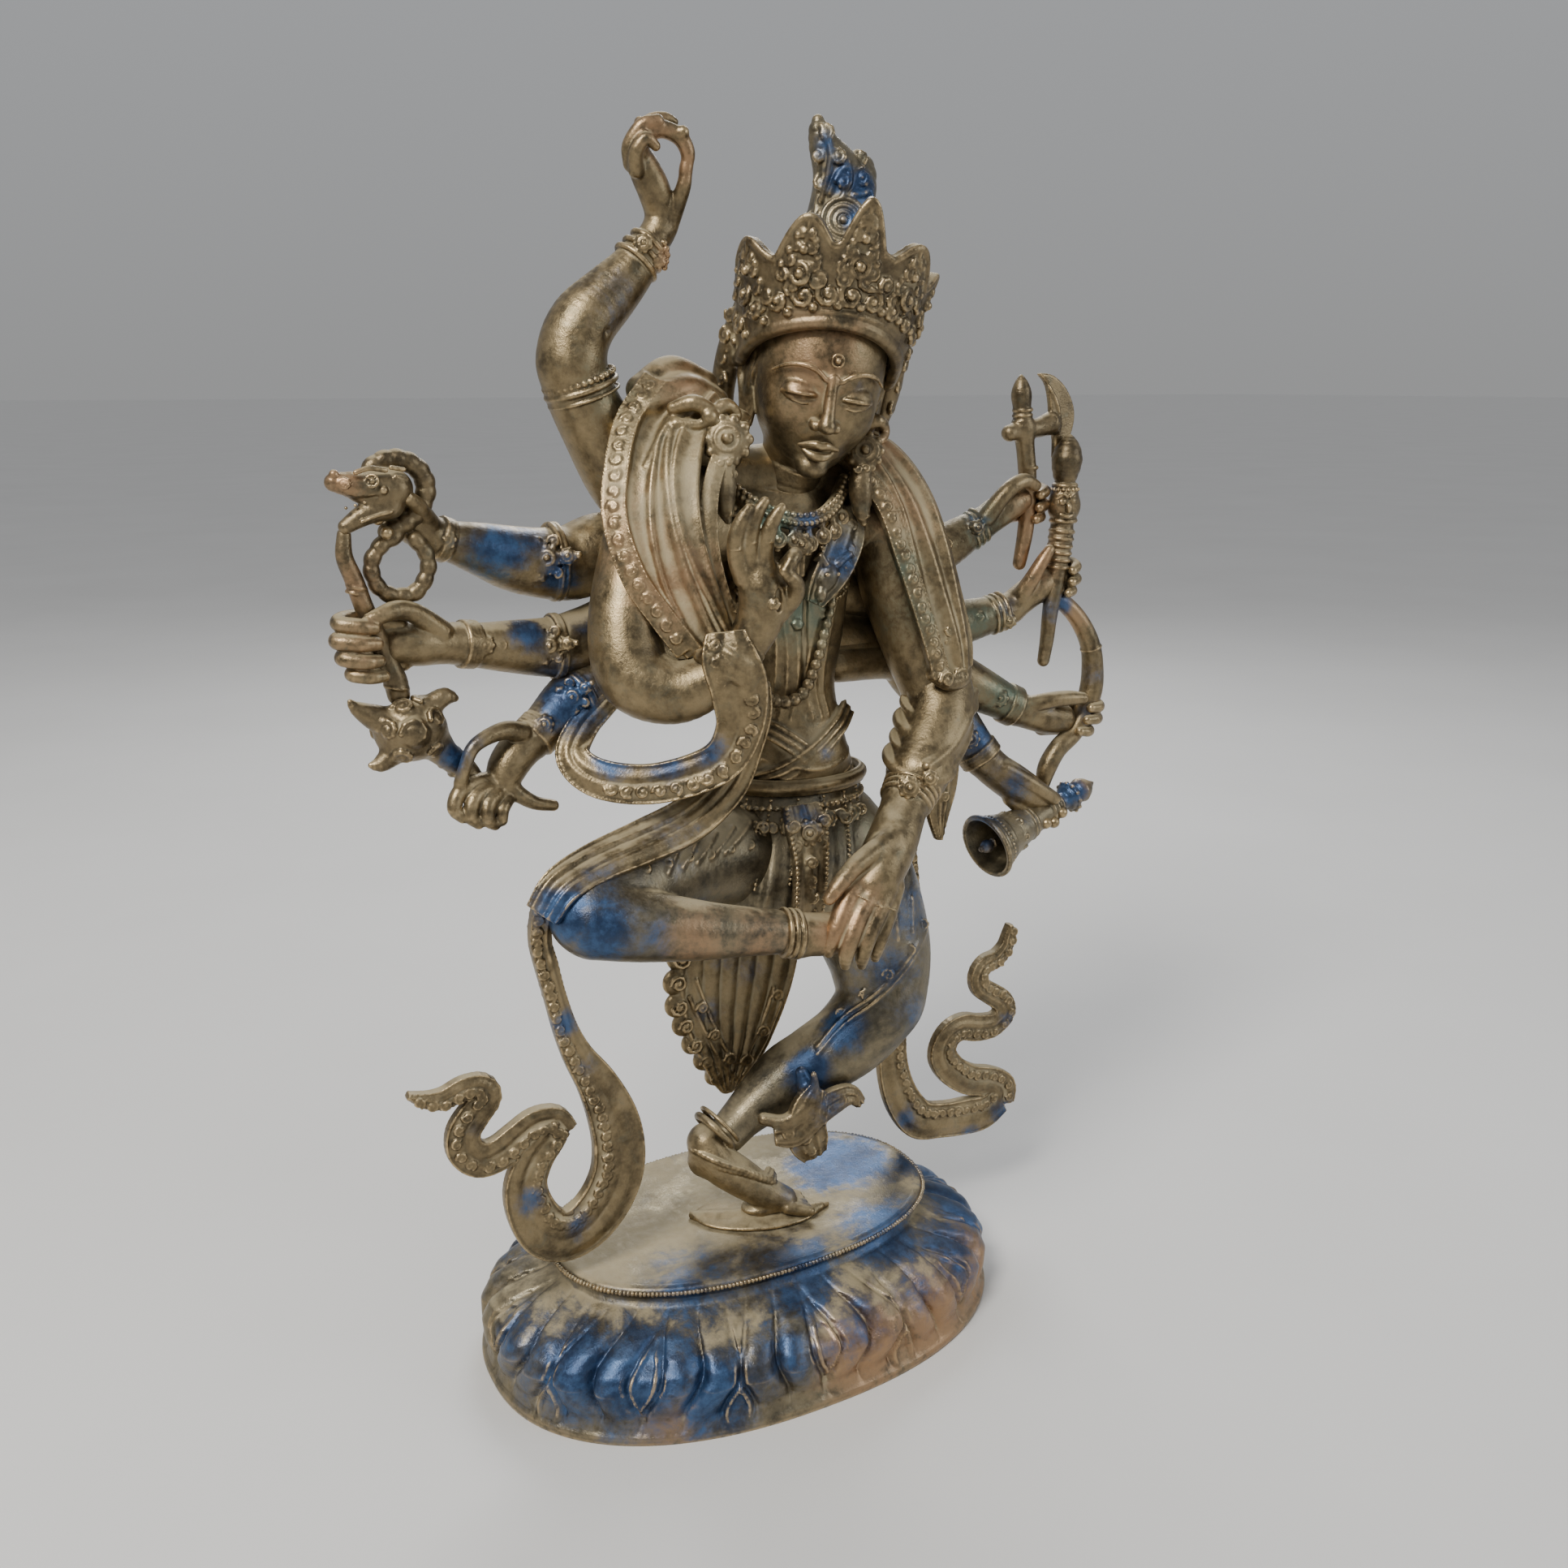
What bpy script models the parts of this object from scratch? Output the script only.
"""Cast brass statue of a ten-armed dancing figure on an oval lotus base, built from separate castings.

Metres, +Z up. The origin is the centre of the base's underside, +X runs along the base's long side,
and the figure faces -Y. Right and left are the figure's own: its right arms reach towards -X.
Stations and sizes inside the functions below are in millimetres, and MM turns them into metres.

Each piece is a group of simple closed shapes joined into one body. Pieces are made in the order of
assembly, and each later piece is cut back by GAP from the pieces already made, which leaves its
sockets, saddles and sleeves.
"""

import math

import bmesh
import bpy
from mathutils import Matrix, Vector

MM = 0.001
GAP = 0.0003  # clearance between two castings that meet

BASE_HEIGHT = 54.0
DECK_HALF_LENGTH = 90.0  # the flat top that the figure stands on
DECK_HALF_DEPTH = 54.0
DECK_THICKNESS = 4.0
BASE_WALL = 3.5
BASE_PETALS = 16
BASE_SIDES = 64
PLATE_THICKNESS = 1.5  # closing sheet under the base
OVAL_POWER = 2.3  # 2 is an ellipse; more squares the oval's corners

CLOTH = 4.0  # thickness of a cast ribbon or scarf
BELL_WALL = 1.6
CHEST_TURN = math.radians(-12)  # the chest is turned towards the figure's right
FIGURE_PLACE = Vector((10.0, -4.0, 0.0))  # the figure's stations are measured from here, not from the base's centre
BASE_PIECES = ("lotus_base", "base_plate")

FACING = (0.0, -1.0, 0.0)

MADE = {}  # name of each finished piece -> its list of shapes, kept for cutting later pieces


# ---------------------------------------------------------------- materials


def material(name, colour, roughness, metallic):
    """The named material, made once and shared by the pieces that use it."""
    if name in bpy.data.materials:
        return bpy.data.materials[name]
    made = bpy.data.materials.new(name)
    made.use_nodes = True
    shader = made.node_tree.nodes["Principled BSDF"]
    shader.inputs["Base Color"].default_value = (*colour, 1.0)
    shader.inputs["Roughness"].default_value = roughness
    shader.inputs["Metallic"].default_value = metallic
    return made


def aged_brass():
    return material("aged_brass", (0.30, 0.24, 0.15), 0.48, 0.85)


def dark_bronze():
    return material("dark_bronze", (0.16, 0.12, 0.08), 0.52, 0.85)


def blue_washed_brass():
    return material("blue_washed_brass", (0.08, 0.16, 0.33), 0.55, 0.5)


# ---------------------------------------------------------------- simple closed shapes


def lofted(rings):
    """A closed mesh through rings of points that all have the same count, with flat ends."""
    bm = bmesh.new()
    loops = [[bm.verts.new(point) for point in ring] for ring in rings]
    count = len(loops[0])
    for first, second in zip(loops, loops[1:]):
        for i in range(count):
            j = (i + 1) % count
            bm.faces.new((first[i], first[j], second[j], second[i]))
    bm.faces.new(reversed(loops[0]))
    bm.faces.new(loops[-1])
    return closed_mesh(bm)


def closed_mesh(bm):
    bmesh.ops.recalc_face_normals(bm, faces=bm.faces)
    bmesh.ops.triangulate(bm, faces=bm.faces)
    mesh = bpy.data.meshes.new("shape")
    bm.to_mesh(mesh)
    bm.free()
    return mesh


def tangents(points):
    """The path's direction at each point, from its neighbours."""
    found = []
    for i in range(len(points)):
        before = points[max(i - 1, 0)]
        after = points[min(i + 1, len(points) - 1)]
        found.append((after - before).normalized())
    return found


def path_of(stations, grow):
    """The stations' points in metres, with both ends pushed out by grow."""
    points = [Vector(s[:3]) * MM for s in stations]
    ways = tangents(points)
    points[0] = points[0] - ways[0] * grow
    points[-1] = points[-1] + ways[-1] * grow
    return points, ways


def tube(*stations, sides=8):
    """A round bar through stations (x, y, z, radius)."""

    def shape(grow):
        points, ways = path_of(stations, grow)
        side = ways[0].orthogonal().normalized()
        rings = []
        for point, way, station in zip(points, ways, stations):
            side = (side - way * side.dot(way)).normalized()
            across = way.cross(side)
            radius = station[3] * MM + grow
            turns = [2 * math.pi * k / sides for k in range(sides)]
            rings.append([point + radius * (side * math.cos(t) + across * math.sin(t)) for t in turns])
        return lofted(rings)

    return shape


def ribbon(*stations, thickness=CLOTH, facing=FACING):
    """A flat band through stations (x, y, z, half width), its broad face turned to facing."""

    def shape(grow):
        points, ways = path_of(stations, grow)
        half = thickness * MM / 2 + grow
        rings = []
        for point, way, station in zip(points, ways, stations):
            side = way.cross(Vector(facing)).normalized()
            face = side.cross(way)
            wide = side * (station[3] * MM + grow)
            deep = face * half
            rings.append([point + wide + deep, point - wide + deep, point - wide - deep, point + wide - deep])
        return lofted(rings)

    return shape


def stack(*levels, sides=12, turn=0.0, power=2.0):
    """Level ovals (x, y, z, half width, half depth), one above another."""

    def shape(grow):
        rings = []
        for level, (x, y, z, width, depth) in enumerate(levels):
            lift = {0: -grow, len(levels) - 1: grow}.get(level, 0.0)
            centre = Vector((x, y, z)) * MM + Vector((0, 0, lift))
            ring = oval(width * MM + grow, depth * MM + grow, sides, power)
            rings.append([centre + Matrix.Rotation(turn, 3, "Z") @ point for point in ring])
        return lofted(rings)

    return shape


def oval(half_length, half_depth, sides, power=2.0):
    """Points around a superellipse in the XY plane."""
    points = []
    for k in range(sides):
        angle = 2 * math.pi * k / sides
        c = math.cos(angle)
        s = math.sin(angle)
        x = half_length * math.copysign(abs(c) ** (2 / power), c)
        y = half_depth * math.copysign(abs(s) ** (2 / power), s)
        points.append(Vector((x, y, 0)))
    return points


def ball(centre, radii, tilt=0.0, turn=0.0):
    """An ellipsoid, tilted about Y and then turned about Z."""

    def shape(grow):
        bm = bmesh.new()
        bmesh.ops.create_icosphere(bm, subdivisions=2, radius=1.0)
        size = Matrix.Diagonal([r * MM + grow for r in radii]).to_4x4()
        place = Matrix.Translation(Vector(centre) * MM)
        spin = Matrix.Rotation(turn, 4, "Z") @ Matrix.Rotation(tilt, 4, "Y")
        bmesh.ops.transform(bm, matrix=place @ spin @ size, verts=bm.verts)
        return closed_mesh(bm)

    return shape


def hoop(centre, radius, bar, axis=FACING, turns=12, sides=6, stretch=1.0):
    """A closed ring of round bar about axis, taller than wide where stretch is over 1."""

    def shape(grow):
        middle = Vector(centre) * MM
        normal = Vector(axis).normalized()
        out = normal.orthogonal().normalized()
        if abs(normal.z) < 0.9:
            out = Vector((0, 0, 1)).cross(normal).normalized()
        up = normal.cross(out)
        bm = bmesh.new()
        rings = []
        for k in range(turns):
            angle = 2 * math.pi * k / turns
            way = out * math.cos(angle) + up * math.sin(angle) * stretch
            spot = middle + way * radius * MM
            thick = bar * MM + grow
            ring = []
            for m in range(sides):
                t = 2 * math.pi * m / sides
                offset = way.normalized() * math.cos(t) + normal * math.sin(t)
                ring.append(bm.verts.new(spot + offset * thick))
            rings.append(ring)
        for k in range(turns):
            first = rings[k]
            second = rings[(k + 1) % turns]
            for m in range(sides):
                n = (m + 1) % sides
                bm.faces.new((first[m], first[n], second[n], second[m]))
        return closed_mesh(bm)

    return shape


# ---------------------------------------------------------------- joining and cutting


def place(mesh, name, collection):
    made = bpy.data.objects.new(name, mesh)
    collection.objects.link(made)
    made.hide_render = True
    made.display_type = "WIRE"
    return made


def gather(name, shapes, grow):
    """A collection that holds each shape as an object, grown by grow."""
    group = bpy.data.collections.new(name)
    bpy.context.scene.collection.children.link(group)
    for shape in shapes:
        place(shape(grow), name, group)
    return group


def boolean(target, operation, group):
    cut = target.modifiers.new(operation.lower(), "BOOLEAN")
    cut.operation = operation
    cut.operand_type = "COLLECTION"
    cut.collection = group
    cut.solver = "EXACT"


def bounds(mesh):
    low = Vector(min(v.co[i] for v in mesh.vertices) for i in range(3))
    high = Vector(max(v.co[i] for v in mesh.vertices) for i in range(3))
    return low, high


def near(first, second):
    (low_a, high_a), (low_b, high_b) = first, second
    return all(low_a[i] < high_b[i] + GAP and low_b[i] < high_a[i] + GAP for i in range(3))


def largest_body(mesh):
    """Deletes every loose part but the one with the most volume."""
    bm = bmesh.new()
    bm.from_mesh(mesh)
    unseen = set(bm.faces)
    bodies = []
    while unseen:
        body = [unseen.pop()]
        for face in body:
            for edge in face.edges:
                for other in edge.link_faces:
                    if other in unseen:
                        unseen.remove(other)
                        body.append(other)
        bodies.append(body)
    bodies.sort(key=body_volume)
    rest = [face for body in bodies[:-1] for face in body]
    bmesh.ops.delete(bm, geom=rest, context="FACES")
    bmesh.ops.triangulate(bm, faces=bm.faces)
    bm.to_mesh(mesh)
    bm.free()


def body_volume(faces):
    """The volume that the faces enclose, each cut into triangles from its first corner."""
    total = 0.0
    for face in faces:
        corners = [v.co for v in face.verts]
        for b, c in zip(corners[1:], corners[2:]):
            total += corners[0].dot(b.cross(c)) / 6
    return abs(total)


def standing(shape):
    """The shape moved with the figure to its place on the deck."""

    def moved(grow):
        mesh = shape(grow)
        mesh.transform(Matrix.Translation(FIGURE_PLACE * MM))
        return mesh

    return moved


def build(name, shapes, coat):
    """One casting: its shapes joined, cut back from every piece already made, and given its material."""
    if name not in BASE_PIECES:
        shapes = [standing(shape) for shape in shapes]
    piece = bpy.data.objects.new(name, shapes[0](0.0))
    bpy.context.scene.collection.objects.link(piece)
    groups = []
    if len(shapes) > 1:
        groups.append(gather(name + "_joined", shapes[1:], 0.0))
        boolean(piece, "UNION", groups[-1])
    own = [bounds(shape(0.0)) for shape in shapes]
    cutters = []
    for others in MADE.values():
        for other in others:
            box = bounds(other(GAP))
            if any(near(box, mine) for mine in own):
                cutters.append(other)
    if cutters:
        groups.append(gather(name + "_cut", cutters, GAP))
        boolean(piece, "DIFFERENCE", groups[-1])
    finish(piece, groups, coat)
    MADE[name] = shapes
    return piece


def finish(piece, groups, coat):
    """Fixes the Booleans into the piece's own mesh and clears the shapes that made it."""
    bpy.context.view_layer.update()
    seen = piece.evaluated_get(bpy.context.evaluated_depsgraph_get())
    mesh = bpy.data.meshes.new_from_object(seen)
    piece.modifiers.clear()
    piece.data = mesh
    for group in groups:
        for tool in list(group.objects):
            bpy.data.objects.remove(tool)
        bpy.data.collections.remove(group)
    largest_body(mesh)
    mesh.shade_smooth()
    mesh.set_sharp_from_angle(angle=math.radians(40))
    mesh.materials.clear()
    mesh.materials.append(coat)


# ---------------------------------------------------------------- what the hands hold


def noose():
    """A segmented rope wound in a round coil over a smaller loop, with an animal's head."""
    shapes = [
        hoop((-147, 14, 386), 11.5, 4.2),
        hoop((-147, 12, 361), 9.0, 3.4, stretch=1.3),
        tube((-147, 12, 386, 9), (-158, 11, 388, 7.5), (-166, 10, 382, 4)),
    ]
    build("noose", shapes, dark_bronze())


def staff():
    """The rod in the second hand's fist, with a swelling at each end."""
    rod = tube((-166, 9, 373, 2.7), (-166, 9, 362, 2.9), (-163, 10, 350, 3.2),
               (-159, 11, 338, 3.4), (-155, 12, 328, 3.4), (-151, 13, 312, 3.8))
    build("staff", [rod], dark_bronze())


def jewel_mace():
    """A knobbed club head on a short neck."""
    head = (-148, 10, 297)
    spikes = [(-168, 9, 307), (-162, 8, 285), (-133, 11, 309)]
    shapes = [ball(head, (16, 12, 13))]
    shapes += [tube((*head, 6), (*tip, 2.6), sides=6) for tip in spikes]
    shapes.append(tube((-140, 11, 292, 7), (-130, 12, 281, 5.2), (-121, 13, 269, 4)))
    build("jewel_mace", shapes, dark_bronze())


def axe():
    """A short shaft with a bud at the top and a crescent blade on one side."""
    shaft = tube((151, 22, 345, 3.3), (154, 22, 364, 3.7), (156, 22, 383, 3.9), (151, 22, 405, 4.4),
                 (149, 22, 417, 5.6), (148, 22, 428, 2.4))
    socket = tube((143, 22, 405, 3.8), (152, 22, 406, 4.6), (166, 22, 407, 4.6))
    blade = ribbon((167, 22, 395, 3.5), (173, 22, 405, 6.5), (177, 22, 414, 6.5), (174, 22, 423, 5),
                   (166, 22, 429, 3), (157, 22, 431, 1.5), thickness=4.5)
    build("axe", [shaft, socket, blade], dark_bronze())


def khatvanga():
    """A ribbed ritual staff with a mask knob and a bud."""
    shaft = tube((161, 14, 297, 3.2), (163, 14, 316, 3.6), (166, 16, 336, 4.7), (169, 16, 352, 5.6),
                 (172, 16, 360, 7.2), (172, 16, 374, 7.8), (172, 16, 384, 5.4), (172, 16, 391, 7.2),
                 (171, 16, 397, 5.4), (170, 16, 403, 1.8))
    build("khatvanga", [shaft], dark_bronze())


def bow():
    """A plain C-shaped bow, thickest at its middle."""
    limb = tube((151, 18, 325, 3.1), (165, 18, 327, 3.9), (178, 18, 322, 4.4), (188, 17, 309, 4.8),
                (195, 16, 294, 5.3), (198, 16, 278, 5.7), (194, 16, 264, 5.3), (185, 15, 255, 5),
                (174, 14, 249, 4.9), (168, 14, 240, 4.9), (166, 14, 230, 3.3))
    build("bow", [limb], aged_brass())


BELL_TOP = Vector((170.0, 10.5, 221.5))
BELL_WAY = Vector((-0.955, -0.12, -0.272)).normalized()


def along_bell(distance, radius):
    """A station on the bell's axis, distance below its crown."""
    spot = BELL_TOP + BELL_WAY * distance
    return (spot.x, spot.y, spot.z, radius)


def bell():
    """A hand bell, hollow from its mouth, with its handle and bud behind the crown."""
    outer = [(0, 5.5), (8, 6.5), (18, 8.2), (30, 10.5), (41, 13.6), (47, 16.2)]
    inner = [(radius - BELL_WALL, distance) for distance, radius in outer]
    profile = [along_bell(d, r) for d, r in outer]
    hollow = [along_bell(d, r) for r, d in inner[:1:-1]]
    handle = tube(along_bell(6, 4.6), along_bell(-8, 4.0), along_bell(-15, 7.4), along_bell(-21, 6.2),
                  along_bell(-27, 2.0))
    build("bell", [cup(profile, hollow), handle], dark_bronze())


def cup(outer, inner, sides=16):
    """A hollow turned shape: out along one run of stations and back along the other."""

    def shape(grow):
        way = (Vector(outer[-1][:3]) - Vector(outer[0][:3])).normalized()
        side = way.orthogonal().normalized()
        across = way.cross(side)
        rings = []
        for run, sign in ((outer, 1), (inner, -1)):
            for x, y, z, radius in run:
                reach = radius * MM + sign * grow
                turns = [2 * math.pi * k / sides for k in range(sides)]
                middle = Vector((x, y, z)) * MM
                rings.append([middle + reach * (side * math.cos(t) + across * math.sin(t)) for t in turns])
        return lofted(rings)

    return shape


def bell_clapper():
    """The clapper: a stub cast on the bell's axis, with a round end."""
    shapes = [tube(along_bell(18.6, 2.0), along_bell(44, 2.0)), ball(along_bell(46, 0)[:3], (3.4, 3.4, 3.4))]
    build("bell_clapper", shapes, dark_bronze())


# ---------------------------------------------------------------- arms


def bracelet(x, y, z, radius, way):
    """A band around a wrist or an upper arm, lying across way."""
    half = Vector(way).normalized() * 2.6
    return tube((x - half.x, y - half.y, z - half.z, radius), (x + half.x, y + half.y, z + half.z, radius))


def right_arm_raised():
    arm = tube((-14, 24, 368, 13), (-48, 28, 386, 16), (-60, 28, 411, 15), (-70, 26, 435, 14),
               (-66, 25, 448, 13.2), (-56, 24, 459, 12), (-39, 22, 477, 8.6), (-34, 22, 484, 6.8), sides=10)
    hand = tube((-34, 22, 484, 6.8), (-31, 20, 497, 7.6), (-36, 18, 510, 6.5), (-37, 17, 518, 5))
    fingers = tube((-38, 17, 514, 5), (-33, 16, 521, 4.2), (-27, 15, 515, 3.4), (-25, 15, 506, 2.8))
    rings = [bracelet(-38, 22, 479, 10, (1, 0, 1.3)), bracelet(-64, 27, 421, 16.4, (-0.3, 0, 1))]
    build("right_arm_raised", [arm, hand, fingers, *rings], aged_brass())


def right_arm_front():
    """The right arm in front of the chest, its hand raised in a teaching gesture."""
    arm = tube((-16, 10, 366, 12), (-46, 6, 376, 15.5), (-57, 0, 354, 15.5), (-65, -8, 331, 15.2),
               (-63, -16, 313, 15), (-50, -24, 309, 13.5), (-35, -32, 317, 11), (-27, -36, 325, 9.3), sides=10)
    palm = tube((-27, -36, 325, 9), (-20, -39, 337, 10.5), (-19, -40, 349, 10.5), (-21, -40, 356, 8))
    fingers = [
        tube((-26, -40, 355, 3.6), (-30, -42, 366, 3.2), (-28, -44, 377, 2.4), sides=6),
        tube((-21, -40, 356, 3.6), (-24, -43, 368, 3.2), (-20, -45, 376, 2.4), sides=6),
        tube((-15, -40, 354, 3.6), (-13, -44, 364, 3.2), (-11, -47, 370, 2.4), sides=6),
    ]
    build("right_arm_front", [arm, palm, *fingers], aged_brass())


def right_arm_noose():
    arm = tube((-2, 33, 350, 13), (-40, 33, 358, 15.5), (-58, 32, 359, 16), (-72, 32, 355, 15.4),
               (-89, 30, 356, 13.6), (-106, 27, 361, 11.6), (-122, 24, 366, 8.9), (-130, 23, 369, 7.5), sides=10)
    hand = tube((-130, 23, 369, 7.5), (-138, 21, 373, 8.5), (-147, 19, 378, 6.5))
    rings = [bracelet(-82, 31, 356, 15.8, (-1, 0, 0)), bracelet(-128, 23.5, 368, 9, (-1, -0.2, 0.3))]
    build("right_arm_noose", [arm, hand, *rings], aged_brass())


def right_arm_staff():
    arm = tube((-2, 31, 334, 12), (-40, 29, 331, 13.8), (-55, 28, 327, 14.4), (-68, 27, 324, 13.5),
               (-83, 25, 322, 12.7), (-101, 22, 324, 11), (-117, 19, 326, 9), (-127, 18, 328, 8.4), sides=10)
    palm = tube((-127, 18, 328, 8.4), (-136, 17, 329, 9), (-146, 15, 332, 8.5), (-154, 14, 334, 7))
    fist = tube((-161, 7, 343, 4.2), (-160, 7, 335, 5.2), (-158, 8, 326, 5.2), (-157, 9, 319, 4.2))
    knuckles = tube((-150, 14, 334, 6.5), (-162, 14, 336, 6.5), (-170, 10, 332, 6), (-168, 6, 330, 5.4))
    rings = [bracelet(-122, 18.5, 327, 10.2, (-1, -0.2, 0.1)), bracelet(-110, 20, 325, 11.4, (-1, 0, 0))]
    build("right_arm_staff", [arm, palm, fist, knuckles, *rings], aged_brass())


def right_arm_mace():
    arm = tube((-2, 28, 322, 11), (-38, 27, 314, 13), (-52, 26, 308, 13.8), (-66, 24, 305, 12.9),
               (-79, 20, 300, 11.4), (-90, 17, 292, 10), (-99, 15, 285, 8.9), sides=10)
    palm = tube((-99, 15, 285, 8.9), (-110, 13, 279, 10.5), (-120, 11, 271, 9.5), (-125, 9, 263, 6.5))
    curled = tube((-127, 6, 268, 4.5), (-122, 4, 260, 5.5), (-116, 5, 257, 4.5))
    pointer = tube((-116, 10, 268, 4.2), (-106, 9, 263, 3.6), (-95, 8, 260, 2.7), sides=6)
    ring = bracelet(-95, 16, 288, 10.4, (-1, -0.2, -0.8))
    build("right_arm_mace", [arm, palm, curled, pointer, ring], aged_brass())


def left_arm_axe():
    arm = tube((42, 33, 338, 12), (70, 34, 334, 13.6), (84, 34, 337, 13), (98, 32, 345, 12.6),
               (113, 28, 353, 11.1), (131, 24, 363, 8), sides=10)
    hand = tube((131, 24, 363, 8), (141, 22, 371, 9.6), (150, 21, 376, 9), (160, 20, 380, 5))
    ring = bracelet(129, 24.5, 362, 9.6, (1, -0.2, 0.55))
    build("left_arm_axe", [arm, hand, ring], aged_brass())


def left_arm_khatvanga():
    arm = tube((42, 32, 318, 12), (66, 33, 312, 13.2), (81, 32, 312, 13), (100, 30, 312, 12.6),
               (120, 26, 316, 11.4), (148, 22, 321, 8.6), sides=10)
    hand = tube((148, 22, 321, 8.6), (160, 20, 329, 9), (170, 18, 335, 8.4), (178, 16, 340, 6))
    ring = bracelet(145, 22.5, 320.5, 9.8, (1, -0.15, 0.2))
    build("left_arm_khatvanga", [arm, hand, ring], aged_brass())


def left_arm_bow():
    arm = tube((44, 30, 305, 11), (76, 31, 310, 11.6), (91, 30, 305, 11.8), (108, 28, 296, 12.8),
               (130, 24, 284, 12), (152, 20, 272, 9.6), sides=10)
    hand = tube((152, 20, 272, 9.6), (168, 18, 266, 10), (184, 16, 262, 9), (196, 15, 263, 6))
    ring = bracelet(149, 20.5, 274, 11, (1, -0.2, -0.5))
    build("left_arm_bow", [arm, hand, ring], aged_brass())


def left_arm_bell():
    arm = tube((52, 25, 303, 9), (84, 28, 302, 10.5), (96, 27, 292, 11.5), (111, 24, 276, 12.6),
               (123, 20, 260, 11.4), (131, 16, 248, 9.8), sides=10)
    hand = tube((131, 16, 248, 9.8), (145, 13, 237, 10.6), (158, 11, 229, 9.5), (170, 10, 222, 8))
    ring = bracelet(129, 17, 251, 11.2, (0.5, -0.3, -0.8))
    build("left_arm_bell", [arm, hand, ring], aged_brass())


def left_arm_front():
    """The left arm in front, reaching down over the raised foot."""
    arm = tube((46, 18, 368, 13), (67, 16, 367, 16), (74, 11, 339, 16.4), (81, 4, 312, 15.5),
               (87, -3, 290, 14.8), (84, -10, 276, 14.6), (73, -16, 265, 14), (56, -26, 250, 11.8), sides=10)
    hand = tube((56, -26, 250, 11), (44, -35, 239, 12.2), (30, -43, 225, 12.6), (22, -48, 217, 10))
    fingers = [
        tube((30, -48, 222, 4), (18, -54, 210, 3.6), (12, -54, 200, 3), sides=6),
        tube((26, -50, 222, 4), (13, -56, 212, 3.6), (7, -56, 202, 3), sides=6),
        tube((36, -46, 222, 4), (26, -52, 207, 3.6), (21, -52, 198, 3), sides=6),
    ]
    ring = bracelet(58, -25, 252, 13, (-0.8, -0.5, -0.7))
    build("left_arm_front", [arm, hand, *fingers, ring], aged_brass())


# ---------------------------------------------------------------- legs and feet


def standing_foot():
    """The foot that carries the figure, with the tang that goes through the deck."""
    foot = tube((-28, 0, 87, 8.8), (-19, -7, 76, 9.6), (-8, -12, 67, 8.4), (6, -17, 61, 5.6), (14, -20, 59, 2.8))
    heel = ball((-30, 1, 83), (9, 9, 9))
    band = tube((-21, 2, 95, 11), (-29, 0, 86, 11.4))
    pad = stack((-6, -9, 57.4, 18, 9), (-6, -9, 61, 15, 7))
    tang = tube((-8, -12, 66, 4), (-8, -12, 49, 4))
    build("standing_foot", [foot, heel, band, pad, tang], aged_brass())


def foot_plinth():
    """The leaf-shaped pad between the foot and the deck."""
    pad = stack((-8, -8, BASE_HEIGHT + 0.4, 30, 17), (-8, -8, BASE_HEIGHT + 3.1, 27, 14), sides=20,
                turn=math.radians(-20))
    build("foot_plinth", [pad], aged_brass())


def standing_leg():
    leg = tube((45, 20, 222, 27), (57, 16, 200, 28.5), (64, 11, 178, 27), (65, 3, 154, 22.4),
               (53, 1, 134, 19.3), (30, 4, 119, 17), (7, 5, 107, 13.6), (-13, 4, 96, 10), (-19, 3, 92, 9), sides=12)
    build("standing_leg", [leg], aged_brass())


def raised_leg():
    thigh = tube((2, 20, 222, 26), (-31, 8, 224, 23.4), (-64, -8, 225, 19.6), (-86, -19, 222, 16.5), sides=12)
    knee = ball((-88, -22, 220), (18, 16.5, 16.5))
    calf = tube((-86, -24, 218, 15.5), (-60, -33, 214, 13.6), (-34, -38, 209, 10.9), (-13, -42, 206, 9.1), sides=10)
    build("raised_leg", [thigh, knee, calf], aged_brass())


def raised_foot():
    foot = tube((-14, -42, 206, 8.6), (4, -45, 203, 9.6), (20, -45, 203, 8.6), (30, -43, 206, 6.5), (38, -40, 213, 4))
    build("raised_foot", [foot], aged_brass())


# ---------------------------------------------------------------- head


def head():
    """Face and skull on a neck that drops into the collar of the chest."""
    neck = tube((20, 21, 372, 13), (23, 18, 388, 14), (27, 13, 402, 15))
    skull = ball((32, 16, 434), (28, 29, 35), tilt=math.radians(14), turn=math.radians(-8))
    jaw = ball((25, 5, 414), (19, 20, 21), tilt=math.radians(14))
    nose = ball((20, -15, 418), (3, 4, 7))
    ears = [ball((1, 16, 420), (4, 6, 15), tilt=math.radians(14)), ball((60, 20, 424), (4, 6, 13))]
    build("head", [skull, neck, jaw, nose, *ears], aged_brass())


def topknot():
    """The dressed hair that rises behind the crown and ends in a curled flame."""
    hair = tube((45, 20, 458, 19), (48, 20, 476, 17), (51, 20, 490, 14.5), (52, 19, 503, 13), (50, 18, 513, 11),
                (42, 18, 522, 7), (37, 18, 529, 3), sides=10)
    curl = ball((56, 18, 514), (8, 7, 8))
    build("topknot", [hair, curl], dark_bronze())


def crown():
    """The five-leaf diadem: a band that fits over the hair, and its leaves."""
    band = tube((34, 14, 446, 33), (38, 15, 454, 33.5), (41, 16, 463, 30), sides=20)
    tips = [(7, 24, 477), (25, -5, 493), (46, -14, 497), (72, 4, 483), (74, 30, 474)]
    roots = [(8, 20, 450), (18, -12, 455), (44, -16, 456), (66, -2, 457), (70, 28, 458)]
    shapes = [band]
    for tip, root in zip(tips, roots):
        middle = [(a + b) / 2 for a, b in zip(tip, root)]
        out = (root[0] - 40, root[1] - 18, 0)
        shapes.append(ribbon((*root, 11), (*middle, 9), (*tip, 2), thickness=5.5, facing=out))
    build("crown", shapes, dark_bronze())


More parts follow.
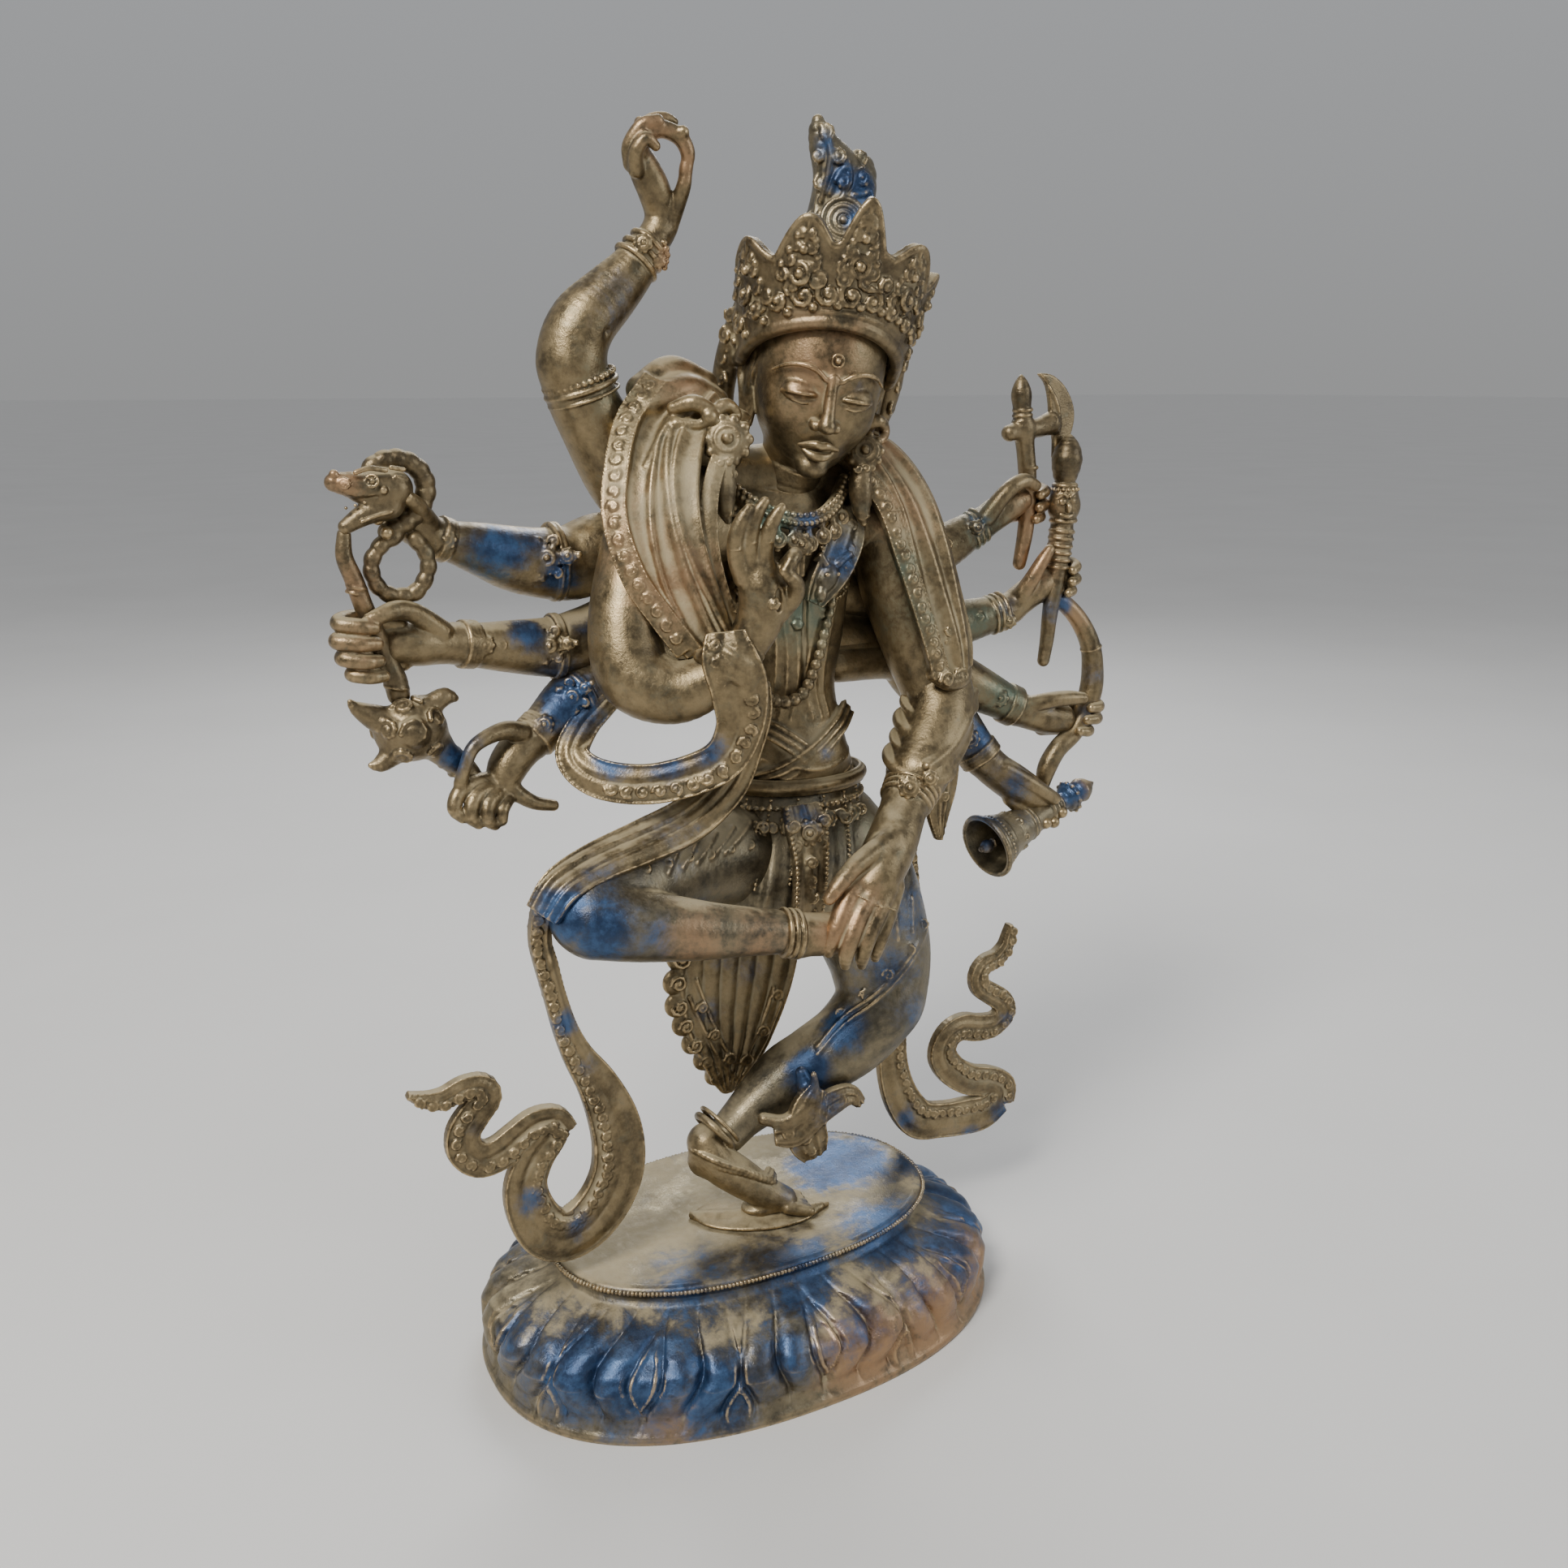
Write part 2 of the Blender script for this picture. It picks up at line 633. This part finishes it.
def earring(name, x, y, z, size):
    """A round rosette with a hanging tassel."""
    rosette = tube((x, y + 3, z, size), (x - 1, y - 3, z, size * 0.8), sides=12)
    tassel = tube((x - 1, y, z - size * 0.5, 4.5), (x - 2, y - 2, z - size - 8, 4.8), (x - 1, y - 3, z - size - 22, 3.0))
    build(name, [rosette, tassel], dark_bronze())


# ---------------------------------------------------------------- body and dress


def torso():
    body = stack((28, 20, 226, 31, 22), (28, 21, 244, 29, 21), (27, 21, 256, 28.5, 20), (25, 20, 270, 25.5, 18.5),
                 (24, 20, 286, 22.2, 17), (23, 20, 300, 22, 16.5), (21, 20, 318, 27, 18.5), (18, 20, 340, 33, 20.5),
                 (17, 20, 359, 36, 21), (18, 21, 372, 31, 18), (20, 21, 380, 20, 15), sides=16, turn=CHEST_TURN)
    shoulders = tube((-22, 24, 366, 13), (18, 24, 368, 15), (52, 22, 364, 13))
    build("torso", [body, shoulders], aged_brass())


def hip_skirt():
    """The wrapped cloth around the hips, open below where the legs leave it."""
    cloth = stack((14, 14, 196, 38, 28), (19, 16, 214, 41, 31), (23, 18, 232, 38, 28), (26, 20, 246, 33, 24.5),
                  (27, 21, 252, 31, 22.5), sides=16)
    build("hip_skirt", [cloth], aged_brass())


def waist_belt():
    """A rounded belt ring where the skirt meets the waist."""
    ring = stack((27, 20, 252.6, 33, 24), (27, 20, 255, 35, 26), (27, 20, 257.6, 33, 24), sides=20)
    build("waist_belt", [ring], aged_brass())


def apron():
    """The ornamented strip that hangs from the belt between the thighs."""
    strip = ribbon((14, -9, 247, 9), (14, -18, 228, 8.5), (13, -19, 210, 8), (13, -15, 196, 7), thickness=4)
    build("apron", [strip], dark_bronze())


def back_skirt():
    """The pleated cloth that falls behind the standing leg."""
    fan = ribbon((12, 33, 214, 27), (6, 33, 190, 30), (2, 33, 165, 31), (-2, 32, 140, 27), (-4, 31, 118, 17),
                 (-5, 30, 103, 6), thickness=7)
    build("back_skirt", [fan], aged_brass())


def shawl_right():
    cloth = ribbon((-22, 16, 412, 12), (-38, 2, 406, 13), (-50, -10, 390, 14), (-50, -20, 368, 15),
                   (-44, -24, 348, 15), (-40, -28, 331, 13), thickness=8, facing=(-0.45, -0.85, 0.25))
    build("shawl_right", [cloth], aged_brass())


def shawl_left():
    cloth = ribbon((52, 8, 398, 10), (66, -1, 382, 12), (73, -8, 362, 12), (78, -12, 338, 12), (84, -16, 316, 11),
                   thickness=8, facing=(0.25, -0.95, 0.2))
    build("shawl_left", [cloth], aged_brass())


def collar_necklace():
    """Hanging discs on a band around the base of the neck."""
    ring = tube((-12, 4, 384, 4), (-2, -3, 374, 4.5), (13, -6, 370, 5), (30, -4, 374, 4.5), (41, 4, 384, 4))
    build("collar_necklace", [ring], dark_bronze())


def long_necklace():
    """The long bead chain that loops down to the navel."""
    chain = tube((-12, -2, 366, 3), (-11, -4, 345, 3), (-6, -2, 322, 3), (0, 1, 300, 3), (10, 1, 294, 3),
                 (22, 1, 297, 3), (28, 0, 318, 3), (34, -1, 340, 3), sides=6)
    build("long_necklace", [chain], dark_bronze())


def antelope_skin():
    """The small animal's head and skin that lies over the left breast."""
    skin = ribbon((42, 0, 372, 8), (33, -4, 356, 9), (24, -4, 342, 7), thickness=8, facing=(0.1, -1, 0.1))
    build("antelope_skin", [skin], blue_washed_brass())


# ---------------------------------------------------------------- scarves


def scarf_loop_right():
    """The scarf that wraps the right front wrist and loops back under the elbow."""
    loop = ribbon((-36, -44, 324, 11), (-31, -42, 310, 12), (-29, -34, 292, 9), (-38, -28, 276, 8), (-60, -18, 270, 7.5),
                  (-79, -8, 275, 7), (-83, 1, 284, 6), (-74, 8, 292, 6), (-62, 12, 299, 5), thickness=5)
    build("scarf_loop_right", [loop], aged_brass())


def scarf_fall_right():
    """The scarf's second end, which falls over the raised thigh to the knee."""
    fall = ribbon((-23, -33, 306, 8), (-22, -24, 286, 8), (-28, -14, 266, 9), (-46, -14, 250, 9.5),
                  (-70, -16, 246, 9.5), (-98, -22, 238, 9), (-111, -22, 222, 8), thickness=5)
    build("scarf_fall_right", [fall], aged_brass())


def trailing_sash_right():
    sash = ribbon((-108, -13, 212, 5), (-105, -13, 195, 5.5), (-101, -13, 176, 6), (-94, -13, 157, 7),
                  (-83, -13, 136, 10), (-77, -13, 114, 12), (-83, -13, 90, 13), (-100, -13, 72, 13.5),
                  (-118, -13, 84, 11), (-121, -13, 106, 9), (-111, -13, 123, 8), (-104, -13, 132, 6.5))
    tail = ribbon((-103, -13, 122, 6.5), (-112, -13, 131, 7), (-125, -13, 127, 7.5), (-137, -13, 119, 7.5),
                  (-146, -13, 128, 7), (-142, -13, 140, 7), (-133, -13, 149, 7), (-142, -13, 154, 5),
                  (-152, -13, 151, 4.6), (-164, -13, 155, 2))
    build("trailing_sash_right", [sash, tail], aged_brass())


def trailing_sash_left():
    sash = ribbon((89, 22, 216, 5.5), (93, 22, 178, 5.6), (92, 22, 148, 5.7), (87, 22, 122, 6), (84, 20, 101, 8),
                  (87, 17, 82, 9), (97, 15, 68, 10), (113, 15, 65.5, 10), (132, 15, 58, 9), (146, 15, 64, 9))
    tail = ribbon((149, 15, 60, 7), (143, 15, 73, 8), (124, 15, 84, 8), (110, 15, 99, 7.4), (117, 15, 110, 7.4),
                  (137, 16, 107, 7.5), (149, 16, 112, 6.5), (140, 16, 123, 6), (131, 16, 134, 5.4), (140, 17, 142, 5.2),
                  (149, 17, 148, 4.4), (151, 17, 158, 2))
    build("trailing_sash_left", [sash, tail], aged_brass())


def wrist_scarf_left():
    """The scarf wound around the left forearm, with its pointed end hanging behind the wrist."""
    band = tube((88, -3, 288, 17), (80, -11, 273, 16.6), (66, -20, 258, 15), sides=10)
    end = ribbon((94, 6, 284, 10), (95, 6, 262, 10), (96, 5, 242, 8), (95, 4, 228, 5), (96, 4, 216, 2), thickness=5)
    build("wrist_scarf_left", [band, end], aged_brass())


def leg_sash():
    """The tied sash end that hangs in front of the standing shin."""
    drop = ribbon((17, -16, 118, 4), (13, -17, 103, 9), (14, -17, 86, 8), thickness=5)
    tails = ribbon((4, -17, 98, 6), (22, -17, 106, 7), (40, -17, 104, 4), thickness=5)
    tie = tube((16, -17, 110, 4), (19, -10, 118, 5))
    build("leg_sash", [drop, tails, tie], dark_bronze())


# ---------------------------------------------------------------- base


def petal_swell(angle):
    """How far the base's wall stands out at this angle, from 0 between petals to 1 on a petal's ridge."""
    return abs(math.sin(BASE_PETALS * angle / 2))


def lotus_base():
    """The hollow oval base: flat deck, concave neck, bulging row of turned-down petals."""
    wall = [
        (1.00, 1.00, BASE_HEIGHT, 0.0),
        (1.02, 1.03, BASE_HEIGHT - 2.0, 0.0),
        (0.99, 0.99, BASE_HEIGHT - 4.5, 0.0),
        (0.97, 0.96, BASE_HEIGHT - 8.0, 0.0),
        (1.08, 1.15, BASE_HEIGHT - 13.0, 1.5),
        (1.24, 1.38, BASE_HEIGHT - 19.0, 3.0),
        (1.345, 1.53, BASE_HEIGHT - 28.0, 3.5),
        (1.375, 1.57, BASE_HEIGHT - 38.0, 3.0),
        (1.37, 1.565, 8.0, 1.2),
        (1.375, 1.57, 0.0, 0.0),
    ]
    rings = [base_ring(*row, 0.0) for row in wall]
    inside = [base_ring(wide, deep, z, 0.0, BASE_WALL + swell) for wide, deep, z, swell in reversed(wall[4:])]
    inside.append(base_ring(0.95, 0.93, BASE_HEIGHT - DECK_THICKNESS, 0.0, BASE_WALL))

    def shape(grow):
        return lofted(rings + inside)

    build("lotus_base", [shape], blue_washed_brass())


def base_ring(wide, deep, z, swell, inset):
    """One level of the base's wall, in deck sizes: petals add swell, and the inner wall is set in."""
    outline = oval(DECK_HALF_LENGTH * wide - inset, DECK_HALF_DEPTH * deep - inset, BASE_SIDES, OVAL_POWER)
    ring = []
    for k, point in enumerate(outline):
        angle = 2 * math.pi * k / BASE_SIDES
        out = point.normalized() * (swell * (petal_swell(angle) - 1))
        ring.append((point + out + Vector((0, 0, z))) * MM)
    return ring


def base_plate():
    """The thin sheet set into the base's underside and held by burrs: the face that the statue rests on."""
    half_length = DECK_HALF_LENGTH * 1.375 - BASE_WALL - 0.4
    half_depth = DECK_HALF_DEPTH * 1.565 - BASE_WALL - 0.4
    sheet = stack((0, 0, 0, half_length, half_depth), (0, 0, PLATE_THICKNESS, half_length, half_depth),
                  sides=48, power=OVAL_POWER)
    build("base_plate", [sheet], dark_bronze())


# ---------------------------------------------------------------- assembly


def clear_scene():
    for old in list(bpy.data.objects):
        bpy.data.objects.remove(old)


def main():
    clear_scene()
    for held in (noose, staff, jewel_mace, axe, khatvanga, bow, bell, bell_clapper):
        held()
    for arm in (right_arm_raised, right_arm_front, right_arm_noose, right_arm_staff, right_arm_mace,
                left_arm_front, left_arm_axe, left_arm_khatvanga, left_arm_bow, left_arm_bell):
        arm()
    for limb in (standing_foot, foot_plinth, raised_foot, raised_leg, standing_leg):
        limb()
    for top in (head, topknot, crown):
        top()
    earring("earring_right", -19, -10, 404, 10)
    earring("earring_left", 48, -6, 398, 8)
    for dress in (torso, hip_skirt, waist_belt, apron, back_skirt, shawl_right, shawl_left,
                  collar_necklace, long_necklace, antelope_skin):
        dress()
    for cloth in (scarf_loop_right, scarf_fall_right, wrist_scarf_left, leg_sash,
                  trailing_sash_right, trailing_sash_left):
        cloth()
    lotus_base()
    base_plate()


main()
